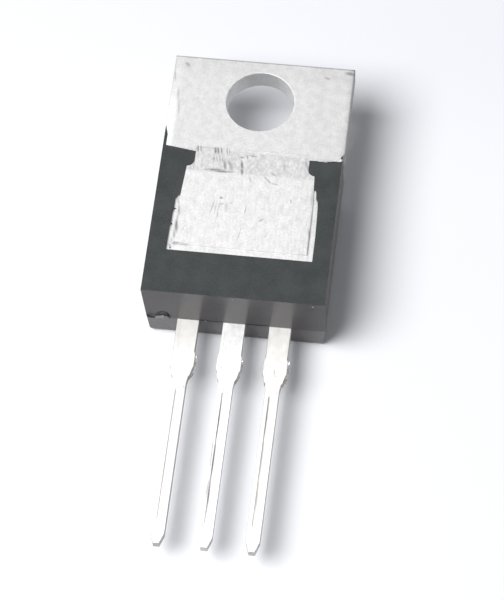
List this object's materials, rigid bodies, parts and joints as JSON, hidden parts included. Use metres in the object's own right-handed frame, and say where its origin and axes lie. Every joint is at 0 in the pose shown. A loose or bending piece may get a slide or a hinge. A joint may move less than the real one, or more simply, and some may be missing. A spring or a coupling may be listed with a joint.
{
  "type": "rectifier diode",
  "caption": "Dual rectifier diode in a flat moulded package with a screw tab, a bare metal back and straight leads.",
  "frame": {"origin": "centre of the mounting hole on the seating face of the heat sink", "axes": "+Z out of the seating face, which is up as the part lies on its moulded front; +Y towards the free end of the tab; leads towards -Y"},
  "size_m": [0.0102, 0.0289, 0.0045],
  "materials": {
    "epoxy": "satin",
    "tinned_copper": "satin",
    "silicon": "satin",
    "solder": "satin",
    "wire": "satin"
  },
  "bodies": {
    "root": {"moulded_body": "epoxy", "heat_sink_frame": "tinned_copper", "left_lead": "tinned_copper", "right_lead": "tinned_copper", "left_die": "silicon", "right_die": "silicon", "left_die_solder": "solder", "right_die_solder": "solder", "left_wire_inner": "wire", "left_wire_outer": "wire", "right_wire_inner": "wire", "right_wire_outer": "wire"}
  },
  "joints": []
}
